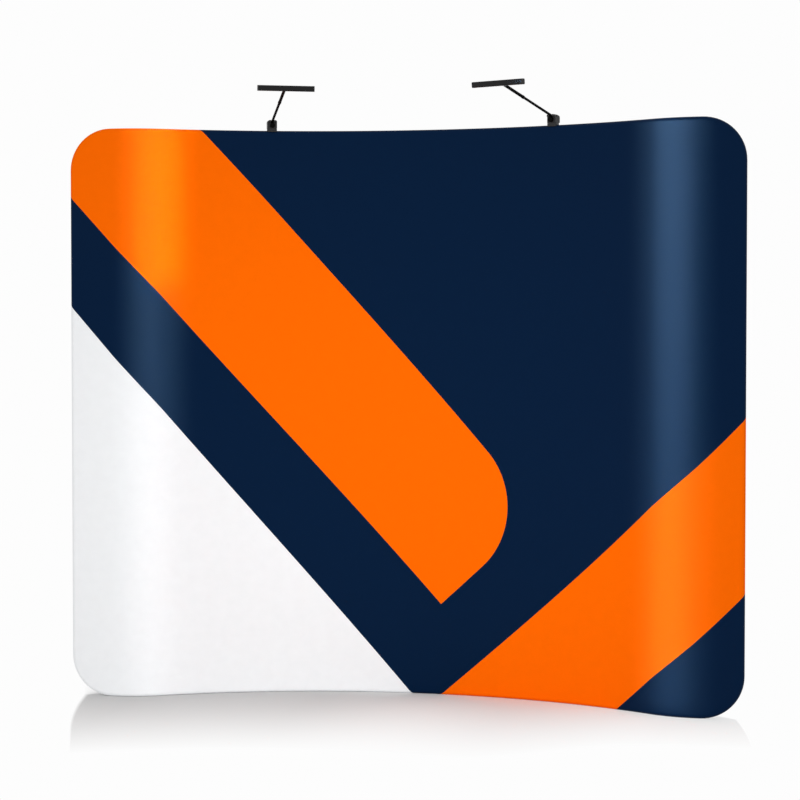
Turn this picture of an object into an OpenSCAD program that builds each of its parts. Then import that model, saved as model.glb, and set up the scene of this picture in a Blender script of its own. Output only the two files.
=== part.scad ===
// Curved fabric backwall: a bent aluminium tube frame in a stretch fabric cover, with two arm lamps.
// Millimetres. The origin is on the floor under the middle of the bottom tube.
// X runs to the right, Y to the back and Z up. The printed side faces the front, towards -Y.

/* [Display] */
// Overall height, from the floor to the top edge of the cover
display_h = 2280; // [2000:5:2500]
// Radius of the wide middle arc, on the centreline of the tubes
arc_r = 1887; // [1700:1:2200]
// Angle from the middle of the arc to each of its ends
arc_half_angle = 31.5; // [30:0.5:34]
// Radius of the reverse curve at each end
return_r = 338; // [250:1:450]
// Straight run between the reverse curve and the corner bend
end_run = 16; // [2:1:200]
// Radius of the four corner bends, on the centreline
corner_r = 150; // [100:1:250]

/* [Frame tubes] */
// Outside diameter of the rim tubes
tube_d = 30; // [28:0.5:34]
// Wall of every tube
tube_wall = 1.5; // [1.2:0.1:2]
// Length of a swaged end inside the next tube
swage_l = 60; // [50:1:80]
// Length of the neck where a tube steps down to its swaged end
neck_l = 4; // [2:0.5:8]
// Radial gap between a swaged end and the tube round it
swage_gap = 0.1; // [0.05:0.05:0.3]

/* [Upright poles] */
// Angle from the middle of the arc to each upright pole
pole_angle = 13.5; // [8:0.5:15]
// Outside diameter of the upright poles
pole_d = 25; // [22:0.5:25]
// Height of the saddle between the rim tube and the end of a pole
saddle_rise = 18; // [12:1:30]
// Length of the saddle's plug inside the pole
plug_l = 35; // [20:1:50]
// Diameter of the peg that locates a saddle in the rim tube
peg_d = 8; // [6:0.5:10]
// Gap between a saddle and the tubes that it fits
saddle_gap = 0.2; // [0.1:0.05:0.3]

/* [Snap buttons] */
// Diameter of a snap button
button_d = 8; // [6:0.5:9]
// How far a button stands out of the outer tube
button_out = 3; // [2:0.5:4]
// Diameter of the flange that keeps a button in its tube
flange_d = 10; // [9.5:0.5:11]
// Thickness of that flange
flange_t = 1.2; // [1:0.1:1.6]
// Gap round a button in its holes
button_gap = 0.3; // [0.2:0.05:0.4]
// Width of the leaf spring behind a button
leaf_w = 14; // [13:0.5:15]
// Thickness of the leaf spring
leaf_t = 0.8; // [0.5:0.1:1]
// Length of each leg of the leaf spring
leaf_l = 42; // [36:1:50]

/* [Cover] */
// Thickness of the stretch fabric
fabric_t = 0.8; // [0.6:0.1:1.2]
// Gap between the rim tubes and the fabric round them
fabric_gap = 0.2; // [0.1:0.05:0.3]
// Depth of the flat that the bottom hem gets where it stands on the floor
floor_flat = 0.4; // [0.2:0.1:0.6]
// Depth of the pressed line in the cover where the arc meets the reverse curve
crease_depth = 0.1; // [0.05:0.05:0.2]
// Width of that pressed line
crease_w = 0.05; // [0.02:0.01:0.1]

/* [Zipper] */
// Width of each zipper tape
tape_w = 12; // [10:0.5:16]
// Width of the closed chain
chain_w = 6; // [5:0.5:8]
// Thickness of the chain
chain_t = 2.2; // [1.8:0.1:3]
// Seam gap along the middle of the chain
chain_seam = 1.2; // [1:0.1:1.6]
// Length of the stop at each end of the chain
stop_l = 10; // [6:1:14]
// How much thicker a stop is than the chain, on each side
stop_lip = 0.2; // [0.1:0.1:0.5]
// Length of the slider
slider_l = 14; // [10:1:18]
// Height of the slider
slider_h = 10; // [9.5:0.5:12]
// Thickness of the slider's two plates
slider_t = 1; // [0.8:0.1:1.2]
// Running gap between the slider and the chain
slider_gap = 0.3; // [0.2:0.05:0.4]
// Distance from the end of the chain to the middle of the closed slider
slider_park = 9; // [8:1:60]
// Diameter of the pull's crossbar
crossbar_d = 1.5; // [1.2:0.1:2]
// Length of the flat tab of the pull
pull_l = 18; // [14:1:30]

/* [Lamp base] */
// Angle from the middle of the arc to each lamp
lamp_angle = 17.7; // [16.5:0.1:22]
// Width of the lamp's foot and turret
base_w = 40; // [36:1:50]
// Depth of the lamp's foot, front to back
base_d = 32; // [30:1:44]
// Radius of their upright edges
base_edge_r = 6; // [3:0.5:8]
// How far the foot laps down over the top edge of the cover
foot_lap = 5; // [3:0.5:7]
// Thickness of the foot above the cover
foot_rise = 10; // [8:1:14]
// Gap between the foot and the cover
foot_gap = 0.2; // [0.1:0.05:0.3]
// Height of the turret that swivels on the foot
turret_h = 32; // [31:1:36]
// Distance from the swivel axis to the turret's front face
turret_front = 14; // [14:0.5:18]
// Distance from the swivel axis to the turret's back
turret_back = 24; // [18:1:28]
// How far the turret's nose stands out over the knob
nose_out = 8; // [4:0.5:12]
// Diameter of the spigot that the turret turns on
spigot_d = 22; // [20:1:23]
// Height of that spigot
spigot_h = 15; // [14:0.5:16]
// Running gap of the swivels, hinges and knobs
turn_gap = 0.3; // [0.2:0.05:0.4]
// Diameter of the bolt that holds the foot down
bolt_d = 8; // [6:1:8]
// Diameter of the bolt's head
bolt_head_d = 13; // [11:1:14]
// Height of the bolt's head
bolt_head_h = 8; // [5:1:9]
// Diameter of the threaded insert in the top tube
insert_d = 11; // [10:0.5:12]
// Length of the threaded insert
insert_l = 16; // [12:1:20]
// Outside diameter of the eyelet in the cover
eyelet_d = 16; // [14:0.5:18]
// Thickness of the eyelet
eyelet_t = 0.6; // [0.4:0.1:0.8]
// Diameter of the clamping knob
knob_d = 20; // [16:1:20]
// Thickness of the clamping knob
knob_t = 11; // [8:1:14]
// Diameter of the knob's screw
knob_screw_d = 6; // [5:0.5:6]
// Diameter of the rubber gland for the power lead
gland_d = 10; // [8:0.5:12]

/* [Lamp arm] */
// Distance between the arm's two hinges
arm_l = 384; // [300:1:450]
// Angle of the arm above level
arm_rise = 14.4; // [13:0.1:40]
// Swivel of the left lamp on its foot
left_swivel = 5.8; // [-15:0.1:15]
// Swivel of the right lamp on its foot
right_swivel = -4.9; // [-15:0.1:15]
// Diameter of the inner rod
rod_d = 10; // [8:0.5:10]
// Outside diameter of the outer sleeve
sleeve_d = 12; // [11.8:0.1:13]
// Outside diameter of the sleeve's collar
collar_d = 13.5; // [13:0.5:16]
// Length of the sleeve's collar
collar_l = 10; // [8:1:20]
// Share of the arm that the sleeve covers
sleeve_share = 0.42; // [0.3:0.01:0.6]
// Length of the rod inside the sleeve
rod_lap = 40; // [20:1:60]
// Width of the hinge eye at the arm's foot
eye_w = 12; // [10:0.5:14]
// Diameter of that eye
eye_d = 15; // [14:0.5:16]
// Diameter of the hinge pins
pin_d = 6; // [5:0.5:6]
// Width of the hinge eye at the arm's top
tip_w = 8; // [6:0.5:9]

/* [Lamp head] */
// Overall length of the head
head_w = 220; // [180:1:260]
// Depth of the head, front to back
head_d = 28; // [28:1:60]
// Thickness of the head
head_t = 22; // [18:0.5:24]
// Radius of the head's edges
head_edge_r = 5; // [4:0.5:5]
// Thickness of each end cap
cap_t = 4; // [3:0.5:6]
// Angle that the head's face is turned towards the cover
head_tilt = 6; // [0:1:30]
// Thickness of each ear of the head's hinge
ear_t = 4; // [3:0.5:5]
// Number of cooling ribs along the top of the head
rib_count = 3; // [3:1:4]
// Depth of the grooves between the ribs
rib_depth = 4; // [3:0.5:5]
// Width of each groove
groove_w = 3; // [2:0.5:4]
// Width of the frosted window
window_d = 18; // [14:1:18]
// Thickness of the frosted window
window_t = 2; // [1.5:0.5:3]
// Rim between the window and the ends of the housing
window_rim = 6; // [4:1:12]

/* [Hidden] */
$fn = 48;
sweep_steps = 360;
slack = 1;              // how far a cutting shape runs past what it cuts

// Finishes
alloy = "silver";
dark_metal = "dimgray";
lamp_black = [0.07, 0.07, 0.075];
satin_black = [0.03, 0.03, 0.035];
print_navy = [0.04, 0.12, 0.23];

// Frame
tube_r = tube_d / 2;
bore_r = tube_r - tube_wall;
swage_r = bore_r - swage_gap;
swage_bore_r = swage_r - tube_wall;
pole_r = pole_d / 2;
pole_bore_r = pole_r - tube_wall;
pole_swage_r = pole_bore_r - swage_gap;
pole_swage_bore_r = pole_swage_r - tube_wall;
skin_r = tube_r + fabric_gap + fabric_t;
rim_bottom = skin_r - floor_flat;
rim_top = display_h - skin_r;
rim_middle = (rim_top + rim_bottom) / 2;
return_x = (arc_r + return_r) * sin(arc_half_angle);
return_y = (arc_r + return_r) * cos(arc_half_angle) - arc_r;
end_y = return_y - return_r;
corner_x = return_x + end_run;
side_x = corner_x + corner_r;
swage_angle = arc_angle(swage_l);
neck_angle = arc_angle(neck_l);
slack_angle = arc_angle(slack);
button_station = arc_angle(swage_l / 2);

// Each rim button: its angle on the arc and the way that its tube's swaged end points
RIM_BUTTONS = [
    [button_station - arc_half_angle, 1],
    [button_station, 1],
    [arc_half_angle - button_station, -1]
];
hole_d = button_d + 2 * button_gap;
leaf_hole_d = flange_d + 2 * button_gap;
leaf_lead = 12;         // how far the leaf runs past the button
leaf_fold = 3 * leaf_t; // metal left at the fold
peg_l = 8;

// Cover and zipper
band_bottom = rim_bottom;
chain_bottom = band_bottom + tape_w;
chain_middle = chain_bottom + chain_w / 2;
chain_top = chain_bottom + chain_w;
band_top = chain_top + tape_w;
fabric_mid = skin_r - fabric_t / 2;
crease_lap = 3;         // how far the cover runs on under the pressed line
chain_angle = arc_half_angle - arc_angle(stop_l);
slider_angle = chain_angle - arc_angle(slider_park);
plate_out = fabric_mid + chain_t / 2 + slider_gap;
plate_in = fabric_mid - chain_t / 2 - slider_gap;
flange_start = chain_w / 2 + slider_gap;
bail_w = 3;
bail_t = 1;
bail_post = 1;
bail_inset = 1.5;
bail_half = slider_l / 2 - bail_inset;
plate_bite = slider_t / 2;
crossbar_y = plate_out + slider_t + slider_gap + crossbar_d / 2;
bail_y = crossbar_y + crossbar_d / 2 + slider_gap;
pull_arm_w = 1.6;
pull_arm_in = bail_w / 2 + 2 * slider_gap;
pull_w = 2 * (pull_arm_in + pull_arm_w);
pull_window = bail_half + bail_post + crossbar_d;
pull_hole_d = 3;

// Lamps, from the centreline of the top tube
foot_bottom = skin_r - foot_lap;
foot_top = skin_r + foot_rise;
turret_bottom = foot_top + turn_gap;
turret_top = turret_bottom + turret_h;
turret_inset = 1;
turret_w = base_w - 2 * turret_inset;
turret_edge_r = 9;
nose_h = 5;             // height of the nose's upright front
nose_bevel = 3;
knob_lift = 0.6;        // the knob's height above the turret's bottom
brow = 2;               // height left between the knob and the underside of the nose
crown = 4;              // how far the flat top runs behind the swivel axis
nape_drop = 15;         // fall of the turret's sloping back
nape_step = 6;          // the first part of that fall
spigot_top = foot_top + spigot_h;
spigot_bore_top = spigot_top + turn_gap;
slot_floor = 2;
slot_bottom = spigot_bore_top + slot_floor;
pivot_z = slot_bottom + turn_gap + eye_d / 2;
pivot_y = -6;           // the arm's hinge lies a little in front of the swivel axis
slot_back = pivot_y + eye_d / 2 + turn_gap;
knob_z = turret_bottom + knob_lift + knob_d / 2;
knob_face = -turret_front - turn_gap;
knob_flute_d = 4;
knob_flute_out = 1;
knob_flutes = 10;
gland_l = 6;
gland_seat = 3;
gland_bore = 5;
sleeve_l = arm_l * sleeve_share;
sleeve_bore_d = rod_d + 2 * swage_gap;
collar_end = arm_l - sleeve_l;
rod_end = collar_end + rod_lap;
tip_shoulder = 1;
tip_d = sleeve_d + 2 * tip_shoulder;
bracket_reach = tip_d / 2 + turn_gap;
bracket_t = 5;
bracket_w = tip_w + 2 * (turn_gap + ear_t);
housing_back = -bracket_reach - bracket_t;
housing_l = head_w - 2 * cap_t;
window_l = housing_l - 2 * window_rim;
rib_pitch = (head_d - 2 * head_edge_r) / rib_count;

function arc_angle(length) = length / arc_r * 180 / PI;

// ---------- placing and sweeping ----------

// Puts its children at an angle on the arc: x along the arc, y to the back, z from the floor.
module on_arc(angle) {
    translate([0, -arc_r, 0]) rotate([0, 0, -angle]) translate([0, arc_r, 0]) children();
}

// The sweeps carry a profile whose x points to the back and whose y points out of the rim's loop.
module sweep_arc(from, to) {
    translate([0, -arc_r, 0]) rotate_extrude(angle = to - from, start = 90 - to, $fn = sweep_steps)
        translate([arc_r, 0]) children();
}

module sweep_return(from = 0) {
    translate([return_x, return_y, 0])
        rotate_extrude(angle = arc_half_angle - from, start = 270 - arc_half_angle + from, $fn = sweep_steps)
            translate([return_r, 0]) mirror([1, 0]) children();
}

// Puts its children where the right-hand reverse curve ends and the straight run starts.
module at_end_run() {
    translate([return_x, return_y, 0]) translate([0, -return_r, 0]) children();
}

module sweep_end_run() {
    at_end_run() rotate([90, 0, 90]) linear_extrude(end_run) children();
}

module sweep_corner() {
    at_end_run() translate([end_run, 0, -corner_r]) rotate([90, 0, 0])
        rotate_extrude(angle = 90, $fn = sweep_steps) translate([corner_r, 0]) rotate(-90) children();
}

module sweep_side(from, to) {
    at_end_run() translate([end_run + corner_r, 0, from]) linear_extrude(to - from) mirror([1, -1]) children();
}

// The reverse curve, straight run, corner bend and half of the side, from a distance along the curve.
module sweep_end(from = 0) {
    translate([0, 0, rim_top]) {
        sweep_return(from / return_r * 180 / PI) children();
        sweep_end_run() children();
        sweep_corner() children();
    }
    sweep_side(rim_middle, rim_top - corner_r) children();
}

module both_ends() {
    children();
    mirror([1, 0, 0]) children();
}

module lower_copy() {
    translate([0, 0, 2 * rim_middle]) mirror([0, 0, 1]) children();
}

module both_levels() {
    children();
    lower_copy() children();
}

module ring(outer_r, inner_r) {
    difference() {
        circle(r = outer_r);
        circle(r = inner_r);
    }
}

module rounded_plan(w, d, r) {
    for (x = [r - w / 2, w / 2 - r], y = [r - d / 2, d / 2 - r]) translate([x, y]) circle(r = r);
    square([w - 2 * r, d], center = true);
    square([w, d - 2 * r], center = true);
}

// ---------- snap buttons ----------

// Frame of a button: z points out along the button, x along its tube towards the swaged end's tip.
module at_rim_button(place) {
    on_arc(place[0]) translate([0, 0, rim_top]) rotate([180, 0, 90 - 90 * place[1]]) children();
}

module at_side_button() {
    translate([side_x, end_y, rim_middle - swage_l / 2]) rotate([0, -90, 0]) mirror([1, 0, 0]) children();
}

module at_pole_button(side) {
    on_arc(side * pole_angle) translate([0, 0, rim_middle + swage_l / 2]) rotate([0, -side * 90, 0])
        children();
}

module button_hole() {
    cylinder(d = hole_d, h = tube_r + button_out);
}

function flange_top(inner_r) = sqrt(pow(inner_r, 2) - pow(flange_d / 2, 2)) - button_gap;

module snap_button(inner_r, outer_r) {
    top = outer_r + button_out;
    dome = button_d / 4;
    base = flange_top(inner_r) - flange_t;
    color(alloy) rotate_extrude() {
        translate([0, base]) square([flange_d / 2, flange_t]);
        translate([0, base]) square([button_d / 2, top - dome - base]);
        translate([0, base]) square([button_d / 2 - dome, top - base]);
        intersection() {
            translate([button_d / 2 - dome, top - dome]) circle(r = dome);
            translate([0, base]) square([button_d, top - base]);
        }
    }
}

// A leaf folded to a V, whose upper leg has a hole round the button.
module leaf_spring(inner_r) {
    spread = sqrt(pow(inner_r, 2) - pow(leaf_w / 2, 2)) - button_gap;
    fold = leaf_lead - leaf_l;
    color(dark_metal) difference() {
        rotate([90, 0, 0]) linear_extrude(leaf_w, center = true) polygon([
            [leaf_lead, spread], [fold, leaf_t], [fold, -leaf_t], [leaf_lead, -spread],
            [leaf_lead, leaf_t - spread], [fold + leaf_fold, 0], [leaf_lead, spread - leaf_t]
        ]);
        cylinder(d = leaf_hole_d, h = inner_r);
    }
}

module button_springs() {
    both_levels() for (place = RIM_BUTTONS) at_rim_button(place) leaf_spring(swage_bore_r);
    both_ends() at_side_button() leaf_spring(swage_bore_r);
    for (side = [-1, 1]) at_pole_button(side) leaf_spring(pole_swage_bore_r);
}

module rim_button(index) {
    at_rim_button(RIM_BUTTONS[index]) snap_button(swage_bore_r, tube_r);
}

module side_button() {
    at_side_button() snap_button(swage_bore_r, tube_r);
}

module pole_button(side) {
    at_pole_button(side) snap_button(pole_swage_bore_r, pole_r);
}

// ---------- rim tubes and poles ----------

module peg_holes() {
    for (side = [-1, 1]) on_arc(side * pole_angle)
        translate([0, 0, rim_top - tube_r - slack]) cylinder(d = peg_d + 2 * saddle_gap, h = tube_r);
}

module insert_holes() {
    for (side = [-1, 1]) on_arc(side * lamp_angle)
        translate([0, 0, rim_top]) cylinder(d = insert_d + 2 * swage_gap, h = tube_r + slack);
}

// The left half of the arc, whose swaged end enters the right half.
module left_rim_tube() {
    difference() {
        translate([0, 0, rim_top]) {
            sweep_arc(-arc_half_angle, 0) circle(r = tube_r);
            sweep_arc(-slack_angle, swage_angle) circle(r = swage_r);
        }
        translate([0, 0, rim_top]) {
            sweep_arc(-arc_half_angle - slack_angle, -neck_angle) circle(r = bore_r);
            sweep_arc(-neck_angle - slack_angle, swage_angle + slack_angle) circle(r = swage_bore_r);
        }
        at_rim_button(RIM_BUTTONS[0]) button_hole();
        at_rim_button(RIM_BUTTONS[1]) button_hole();
        peg_holes();
    }
}

module right_rim_tube() {
    difference() {
        translate([0, 0, rim_top]) sweep_arc(0, arc_half_angle) circle(r = tube_r);
        translate([0, 0, rim_top]) sweep_arc(-slack_angle, arc_half_angle + slack_angle) circle(r = bore_r);
        at_rim_button(RIM_BUTTONS[1]) button_hole();
        at_rim_button(RIM_BUTTONS[2]) button_hole();
        peg_holes();
    }
}

module top_left_tube() {
    color(alloy) difference() {
        left_rim_tube();
        insert_holes();
    }
}

module top_right_tube() {
    color(alloy) difference() {
        right_rim_tube();
        insert_holes();
    }
}

module bottom_left_tube() {
    color(alloy) lower_copy() left_rim_tube();
}

module bottom_right_tube() {
    color(alloy) lower_copy() right_rim_tube();
}

// The bent tube of one upper corner, less the end of its side; its swaged end enters the arc's tube.
module corner_tube() {
    difference() {
        union() {
            sweep_end() circle(r = tube_r);
            translate([0, 0, rim_top]) sweep_arc(arc_half_angle - swage_angle, arc_half_angle + slack_angle)
                circle(r = swage_r);
        }
        sweep_end(neck_l) circle(r = bore_r);
        translate([0, 0, rim_top])
            sweep_arc(arc_half_angle - swage_angle - slack_angle, arc_half_angle + neck_angle + slack_angle)
                circle(r = swage_bore_r);
        at_rim_button(RIM_BUTTONS[2]) button_hole();
    }
}

module upper_corner_tube() {
    color(alloy) difference() {
        union() {
            corner_tube();
            sweep_side(rim_middle, rim_middle + neck_l) circle(r = bore_r + tube_wall / 2);
            sweep_side(rim_middle - swage_l, rim_middle + slack) circle(r = swage_r);
        }
        sweep_side(rim_middle - swage_l - slack, rim_middle + neck_l + slack) circle(r = swage_bore_r);
        at_side_button() button_hole();
    }
}

module lower_corner_tube() {
    color(alloy) difference() {
        lower_copy() corner_tube();
        at_side_button() button_hole();
    }
}

pole_start = rim_bottom + tube_r + saddle_rise;
pole_end = rim_top - tube_r - saddle_rise;

module pole_lower(side) {
    color(alloy) difference() {
        on_arc(side * pole_angle) {
            translate([0, 0, pole_start]) linear_extrude(rim_middle - pole_start) ring(pole_r, pole_bore_r);
            translate([0, 0, rim_middle - neck_l]) linear_extrude(neck_l) ring(pole_r, pole_swage_bore_r);
            translate([0, 0, rim_middle]) linear_extrude(swage_l) ring(pole_swage_r, pole_swage_bore_r);
        }
        at_pole_button(side) button_hole();
    }
}

module pole_upper(side) {
    color(alloy) difference() {
        on_arc(side * pole_angle) translate([0, 0, rim_middle])
            linear_extrude(pole_end - rim_middle) ring(pole_r, pole_bore_r);
        at_pole_button(side) button_hole();
    }
}

// A saddle: plug in the pole, body notched to the rim tube and a peg into the tube.
module pole_saddle(side) {
    difference() {
        on_arc(side * pole_angle) translate([0, 0, rim_bottom])
            cylinder(r = pole_r, h = tube_r + saddle_rise);
        translate([0, 0, rim_bottom])
            sweep_arc(side * pole_angle - arc_angle(pole_d), side * pole_angle + arc_angle(pole_d))
                circle(r = tube_r + saddle_gap);
        on_arc(side * pole_angle) translate([0, 0, -slack])
            cylinder(r = pole_r + slack, h = rim_bottom + tube_r / 2 + slack);
    }
    on_arc(side * pole_angle) translate([0, 0, rim_bottom + bore_r - peg_l / 2])
        cylinder(d = peg_d, h = peg_l);
    on_arc(side * pole_angle) translate([0, 0, pole_start - slack])
        cylinder(r = pole_bore_r - saddle_gap, h = plug_l + slack);
}

module pole_saddles() {
    color(dark_metal) both_levels() for (side = [-1, 1]) pole_saddle(side);
}

// ---------- cover ----------

module sheet_strip(face, bottom) {
    translate([face, bottom]) square([fabric_t, rim_top - bottom]);
}

// Outline of the flat end of a sheet, from the corner bends' centres outwards.
module end_outline() {
    height = rim_top - rim_bottom;
    translate([0, corner_r]) square([corner_r, height - 2 * corner_r]);
    for (level = [corner_r, height - corner_r]) intersection() {
        translate([0, level]) circle(r = corner_r, $fn = sweep_steps);
        square([corner_r, height]);
    }
}

// A sheet over the whole width; face is where its front surface lies from the tubes' centreline.
module sheet(face, arc_bottom) {
    crease = arc_angle(crease_w);
    sweep_arc(crease - arc_half_angle, arc_half_angle - crease) sheet_strip(face, arc_bottom);
    both_ends() {
        under_crease() translate([face + crease_depth, arc_bottom + crease_depth])
            square([fabric_t - 2 * crease_depth, rim_top - arc_bottom - 2 * crease_depth]);
        sweep_return() sheet_strip(face, rim_bottom);
        sweep_end_run() sheet_strip(face, rim_bottom);
        at_end_run() translate([end_run, face + fabric_t, rim_bottom]) rotate([90, 0, 0])
            linear_extrude(fabric_t) end_outline();
    }
}

// Carries a thinner profile through the pressed line where the arc meets the right-hand reverse curve.
module under_crease() {
    lap = arc_angle(crease_lap);
    sweep_arc(arc_half_angle - lap, arc_half_angle + lap) children();
}

module hem_profile(inset = 0) {
    intersection() {
        ring(skin_r - inset, skin_r - fabric_t + inset);
        translate([-skin_r, inset]) square([2 * skin_r, skin_r]);
    }
}

module hem() {
    crease = arc_angle(crease_w);
    translate([0, 0, rim_top]) {
        sweep_arc(crease - arc_half_angle, arc_half_angle - crease) hem_profile();
        both_ends() under_crease() hem_profile(crease_depth);
    }
    both_ends() sweep_end() hem_profile();
}

module bolt_holes(extra) {
    for (side = [-1, 1]) on_arc(side * lamp_angle)
        translate([0, 0, rim_top]) cylinder(d = bolt_d + 2 * extra, h = skin_r + slack);
}

// The printed front and the hem that wraps the rim, in one piece.
module front_graphic() {
    color(print_navy) difference() {
        union() {
            sheet(-skin_r, rim_bottom);
            both_levels() hem();
        }
        translate([-side_x - skin_r, end_y - skin_r, -skin_r])
            cube([2 * (side_x + skin_r), skin_r - end_y + skin_r + slack, skin_r]);
        bolt_holes(foot_gap);
    }
}

module back_panel() {
    color("whitesmoke") sheet(skin_r - fabric_t, band_top);
}

// ---------- zipper ----------

module zipper_band(bottom, top) {
    sweep_arc(-arc_half_angle, arc_half_angle)
        translate([skin_r - fabric_t, bottom]) square([fabric_t, top - bottom]);
}

module zipper_lower_tape() {
    color("black") zipper_band(band_bottom, chain_bottom);
}

module zipper_upper_tape() {
    color("black") zipper_band(chain_top, band_top);
}

module zipper_teeth() {
    row_h = (chain_w - chain_seam) / 2;
    color(dark_metal) sweep_arc(-chain_angle, chain_angle)
        for (bottom = [chain_bottom, chain_top - row_h])
            translate([fabric_mid - chain_t / 2, bottom]) square([chain_t, row_h]);
}

module zipper_stops() {
    color(dark_metal) both_ends() sweep_arc(chain_angle, arc_half_angle)
        translate([fabric_mid - chain_t / 2 - stop_lip, chain_bottom])
            square([chain_t + 2 * stop_lip, chain_w]);
}

// Two plates joined by a thin web in the chain's seam, with flanges that guide the tapes.
module slider_profile() {
    translate([plate_out, -slider_h / 2]) square([slider_t, slider_h]);
    translate([plate_in - slider_t, -slider_h / 2]) square([slider_t, slider_h]);
    translate([plate_in - slack / 2, slider_gap - chain_seam / 2])
        square([plate_out - plate_in + slack, chain_seam - 2 * slider_gap]);
    for (edge = [-slider_h / 2, flange_start]) {
        translate([skin_r + slider_gap, edge])
            square([plate_out - skin_r - slider_gap + plate_bite, slider_h / 2 - flange_start]);
        translate([plate_in - plate_bite, edge])
            square([skin_r - fabric_t - slider_gap - plate_in + plate_bite, slider_h / 2 - flange_start]);
    }
}

module zipper_slider() {
    half = arc_angle(slider_l / 2);
    color(dark_metal) {
        translate([0, 0, chain_middle]) sweep_arc(slider_angle - half, slider_angle + half) slider_profile();
        on_arc(slider_angle) translate([0, 0, chain_middle]) {
            for (end = [-1, 1]) translate([end * bail_half, (plate_out + plate_bite + bail_y + bail_t) / 2, 0])
                cube([bail_post, bail_y + bail_t - plate_out - plate_bite, bail_w], center = true);
            translate([0, bail_y + bail_t / 2, 0])
                cube([2 * bail_half + bail_post, bail_t, bail_w], center = true);
        }
    }
}

// The pull hangs on the bail by its crossbar and lies flat along the chain.
module zipper_pull() {
    tab_start = -pull_window - pull_l;
    color(dark_metal) on_arc(slider_angle) translate([0, crossbar_y, chain_middle]) difference() {
        union() {
            cylinder(d = crossbar_d, h = pull_w, center = true);
            for (side = [-1, 1]) translate([-pull_window / 2, 0, side * (pull_arm_in + pull_arm_w / 2)])
                cube([pull_window + crossbar_d / 2, crossbar_d, pull_arm_w], center = true);
            translate([-pull_window - pull_l / 2, 0, 0]) cube([pull_l, crossbar_d, pull_w], center = true);
            translate([tab_start, 0, 0]) rotate([90, 0, 0]) cylinder(d = pull_w, h = crossbar_d, center = true);
        }
        translate([tab_start, 0, 0]) rotate([90, 0, 0])
            cylinder(d = pull_hole_d, h = crossbar_d + slack, center = true);
    }
}

// ---------- lamps ----------

module at_lamp(side) {
    on_arc(side * lamp_angle) translate([0, 0, rim_top]) children();
}

module at_turret(side) {
    at_lamp(side) rotate([0, 0, side < 0 ? left_swivel : right_swivel]) children();
}

module at_arm(side) {
    at_turret(side) translate([0, pivot_y, pivot_z]) rotate([-arm_rise, 0, 0]) children();
}

module at_head(side) {
    at_arm(side) translate([0, -arm_l, 0]) rotate([arm_rise + head_tilt, 0, 0]) children();
}

// A bar along x, centred, such as a pin or the body of a hinge eye.
module cross_bar(d, l) {
    rotate([0, 90, 0]) cylinder(d = d, h = l, center = true);
}

// A round bar towards the front, from one distance to another.
module front_bar(d, from, to) {
    translate([0, -from, 0]) rotate([90, 0, 0]) cylinder(d = d, h = to - from);
}

module lamp_inserts() {
    color(alloy) for (side = [-1, 1]) at_lamp(side) difference() {
        intersection() {
            translate([0, 0, bore_r + tube_wall - insert_l]) cylinder(d = insert_d, h = insert_l);
            rotate([0, 90, 0]) cylinder(r = tube_r, h = insert_l, center = true);
        }
        translate([0, 0, -insert_l]) cylinder(d = bolt_d, h = 3 * insert_l);
    }
}

module cover_eyelets() {
    color(alloy) for (side = [-1, 1]) intersection() {
        translate([0, 0, rim_top])
            sweep_arc(side * lamp_angle - arc_angle(eyelet_d), side * lamp_angle + arc_angle(eyelet_d))
                ring(skin_r + eyelet_t, skin_r);
        at_lamp(side) linear_extrude(skin_r + slack) ring(eyelet_d / 2, bolt_d / 2 + foot_gap);
    }
}

module lamp_foot(side) {
    color(lamp_black) difference() {
        union() {
            at_lamp(side) translate([0, 0, foot_bottom]) linear_extrude(foot_top - foot_bottom)
                rounded_plan(base_w, base_d, base_edge_r);
            at_lamp(side) translate([0, 0, foot_top - slack]) cylinder(d = spigot_d, h = spigot_h + slack);
        }
        translate([0, 0, rim_top])
            sweep_arc(side * lamp_angle - arc_angle(base_w), side * lamp_angle + arc_angle(base_w))
                circle(r = skin_r + foot_gap);
        at_lamp(side) {
            cylinder(d = eyelet_d + 2 * foot_gap, h = skin_r + eyelet_t + foot_gap);
            cylinder(d = bolt_d + 2 * foot_gap, h = spigot_top + slack);
            translate([0, 0, spigot_top - bolt_head_h]) cylinder(d = bolt_head_d + 2 * foot_gap, h = spigot_h);
        }
    }
}

module lamp_bolts() {
    key_d = bolt_head_d / 2;
    color(alloy) for (side = [-1, 1]) at_lamp(side) difference() {
        union() {
            cylinder(d = bolt_d, h = spigot_top - bolt_head_h);
            translate([0, 0, spigot_top - bolt_head_h]) cylinder(d = bolt_head_d, h = bolt_head_h - foot_gap);
        }
        translate([0, 0, spigot_top - bolt_head_h / 2]) cylinder(d = key_d, h = bolt_head_h, $fn = 6);
    }
}

// The turret seen from the side: y to the back and z up, from its bottom.
module turret_profile() {
    nose_y = -turret_front - nose_out;
    nose_z = turret_h - nose_bevel - nose_h;
    polygon([
        [-turret_front, 0], [-turret_front, knob_lift + knob_d + brow], [nose_y, nose_z],
        [nose_y, turret_h - nose_bevel], [nose_y + nose_bevel, turret_h], [crown, turret_h],
        [(crown + turret_back) / 2 + nose_bevel, turret_h - nape_step], [turret_back, turret_h - nape_drop],
        [turret_back, 0]
    ]);
}

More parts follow.
